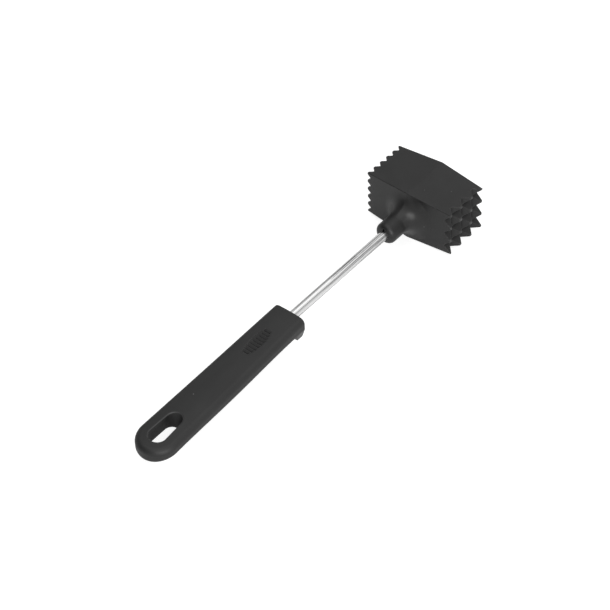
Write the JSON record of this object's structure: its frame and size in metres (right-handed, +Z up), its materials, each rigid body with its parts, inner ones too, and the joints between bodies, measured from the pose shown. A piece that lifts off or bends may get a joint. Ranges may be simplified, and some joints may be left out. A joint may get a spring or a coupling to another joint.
{
  "type": "meat mallet",
  "caption": "Meat mallet with a square drafted head, one coarse and one fine toothed striking face, a bright round shank and a flat moulded grip with a thumb rest and a hang slot.",
  "frame": {"origin": "bottom centre of the whole tool's bounding box: on the tool's mid-plane, half way along it, at the level of the head's lower parting ridge", "axes": "+X along the tool from the grip to the head, +Y out of the fine striking face, +Z up through the grip's flat top"},
  "size_m": [0.2711, 0.0636, 0.0355],
  "materials": {
    "coated_casting": "die cast, with a dark satin non-stick coat",
    "plated_rod": "bright plated, with faint lengthwise draw marks",
    "moulded_grip": "moulded, fine satin texture"
  },
  "bodies": {
    "root": {"head": "coated_casting", "shank": "plated_rod", "grip": "moulded_grip"}
  },
  "joints": []
}
